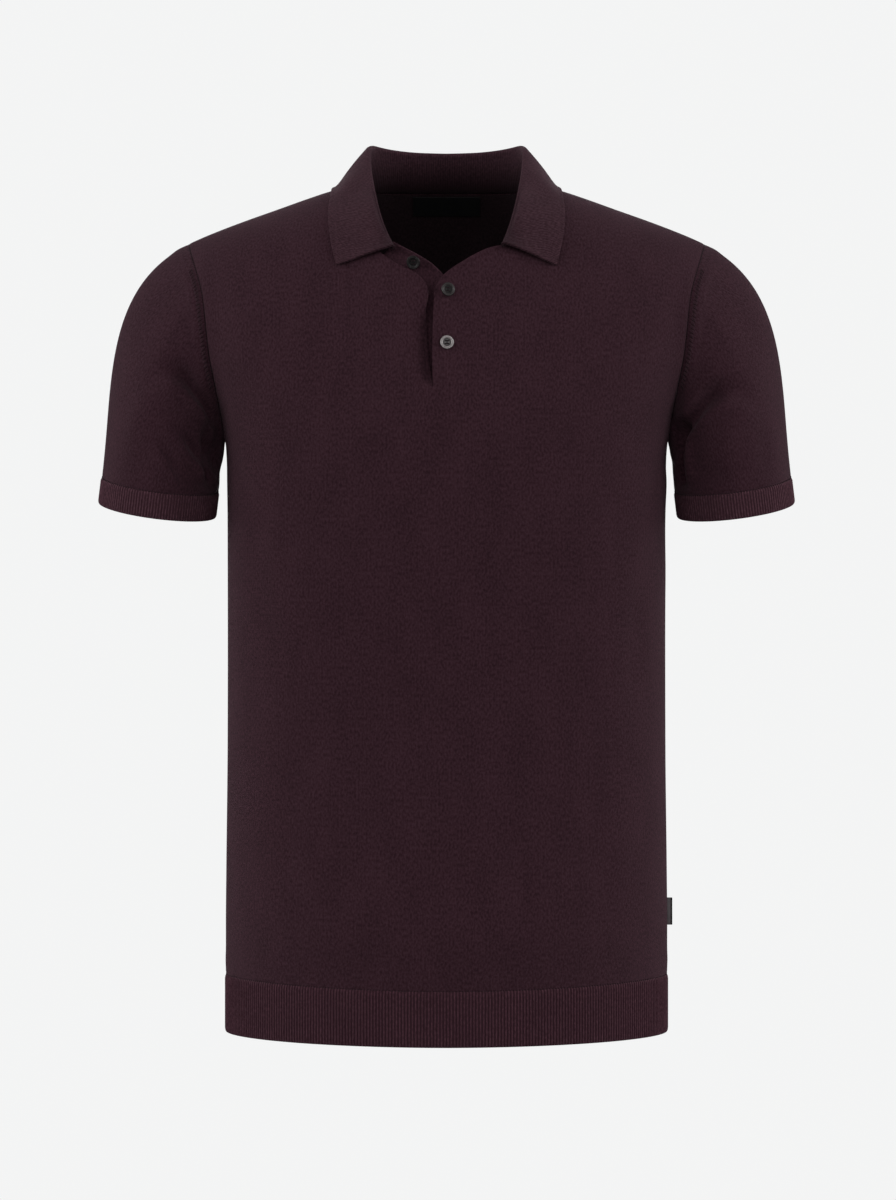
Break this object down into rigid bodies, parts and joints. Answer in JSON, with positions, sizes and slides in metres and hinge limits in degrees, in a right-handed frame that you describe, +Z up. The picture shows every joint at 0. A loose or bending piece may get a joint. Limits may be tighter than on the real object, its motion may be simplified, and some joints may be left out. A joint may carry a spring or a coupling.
{
  "type": "short-sleeved knitted polo sweater",
  "caption": "Fine-knit short-sleeved polo sweater, filled out and hollow, with a folded collar, an open buttoned placket and ribbed hem and cuffs.",
  "frame": {"origin": "between the wearer's shoulders, on the middle plane, at the height where the collar meets the shoulders", "axes": "+Z up, +X to the wearer's left, the front faces -Y"},
  "size_m": [0.5744, 0.2414, 0.7329],
  "materials": {
    "jersey": "matte fine-gauge knit",
    "rib": "matte one-by-one rib knit",
    "collar": "matte fine rib knit",
    "button": "dark mother-of-pearl resin",
    "label": "black satin",
    "tab": "grey woven satin"
  },
  "bodies": {
    "root": {"front_panel": "jersey", "back_panel": "jersey", "hem_rib_front": "rib", "hem_rib_back": "rib", "sleeve_left": "jersey", "sleeve_right": "jersey", "cuff_left": "rib", "cuff_right": "rib", "collar": "collar", "placket_underlap": "jersey", "button_1": "button", "button_2": "button", "button_3": "button", "neck_label": "label", "side_tab": "tab"}
  },
  "joints": []
}
